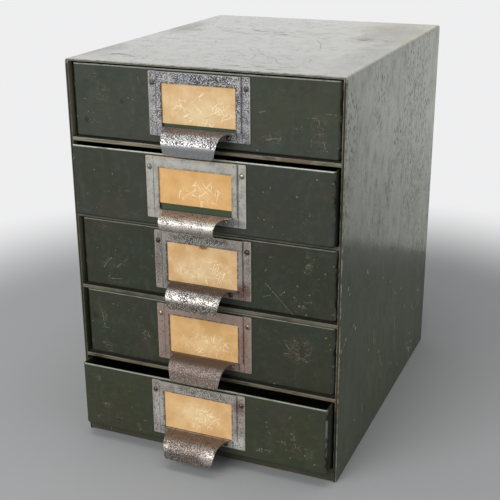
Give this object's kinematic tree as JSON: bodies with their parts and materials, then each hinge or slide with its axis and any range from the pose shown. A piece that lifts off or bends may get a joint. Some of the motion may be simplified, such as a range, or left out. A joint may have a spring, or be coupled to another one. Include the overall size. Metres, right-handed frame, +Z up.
{
  "type": "metal drawer chest",
  "caption": "Bench-top steel cabinet with sliding drawers in a folded casing, each drawer with a pressed card holder whose tongue is the pull.",
  "frame": {"origin": "middle of the casing's footprint, on the surface that it stands on", "axes": "+Z up, -Y towards the drawer fronts, +X to the right seen from the front"},
  "size_m": [0.28, 0.3951, 0.3995],
  "materials": {
    "casing_paint": "dark olive-green stove enamel, worn semi-gloss with fine scratches",
    "drawer_paint": "dark olive-green stove enamel, worn semi-gloss with chips and rust-brown scuffs",
    "pull_steel_1": "tarnished bare steel, speckled, blue-grey",
    "pull_steel_2": "satin bare steel with a brown root to the tongue",
    "pull_steel_3": "brown-grey oxidised steel, speckled",
    "pull_steel_4": "even brown-grey oxidised steel",
    "pull_steel_5": "pale speckled steel with a brown tongue",
    "rivet_steel": "tarnished steel rivets",
    "card_paper": "matt manila card, scuffed"
  },
  "bodies": {
    "casing": {"casing_wrap": "casing_paint", "back_panel": "casing_paint", "bottom_panel": "casing_paint", "base_shelf": "casing_paint", "shelf_1": "casing_paint", "shelf_2": "casing_paint", "shelf_3": "casing_paint", "shelf_4": "casing_paint"},
    "drawer_1": {"drawer_1_shell": "drawer_paint", "drawer_1_bottom": "drawer_paint", "drawer_1_back": "drawer_paint", "drawer_1_pull": "pull_steel_1", "drawer_1_card": "card_paper", "drawer_1_rivets": "rivet_steel"},
    "drawer_2": {"drawer_2_shell": "drawer_paint", "drawer_2_bottom": "drawer_paint", "drawer_2_back": "drawer_paint", "drawer_2_pull": "pull_steel_2", "drawer_2_card": "card_paper", "drawer_2_rivets": "rivet_steel"},
    "drawer_3": {"drawer_3_shell": "drawer_paint", "drawer_3_bottom": "drawer_paint", "drawer_3_back": "drawer_paint", "drawer_3_pull": "pull_steel_3", "drawer_3_card": "card_paper", "drawer_3_rivets": "rivet_steel"},
    "drawer_4": {"drawer_4_shell": "drawer_paint", "drawer_4_bottom": "drawer_paint", "drawer_4_back": "drawer_paint", "drawer_4_pull": "pull_steel_4", "drawer_4_card": "card_paper", "drawer_4_rivets": "rivet_steel"},
    "drawer_5": {"drawer_5_shell": "drawer_paint", "drawer_5_bottom": "drawer_paint", "drawer_5_back": "drawer_paint", "drawer_5_pull": "pull_steel_5", "drawer_5_card": "card_paper", "drawer_5_rivets": "rivet_steel"}
  },
  "joints": [
    {"name": "drawer_1_slide", "type": "slide", "parent": "casing", "child": "drawer_1", "axis": [0, -1, 0], "range_m": [0, 0.29]},
    {"name": "drawer_2_slide", "type": "slide", "parent": "casing", "child": "drawer_2", "axis": [0, -1, 0], "range_m": [-0.011, 0.279]},
    {"name": "drawer_3_slide", "type": "slide", "parent": "casing", "child": "drawer_3", "axis": [0, -1, 0], "range_m": [0, 0.29]},
    {"name": "drawer_4_slide", "type": "slide", "parent": "casing", "child": "drawer_4", "axis": [0, -1, 0], "range_m": [0, 0.29]},
    {"name": "drawer_5_slide", "type": "slide", "parent": "casing", "child": "drawer_5", "axis": [0, -1, 0], "range_m": [-0.0175, 0.2725]}
  ]
}
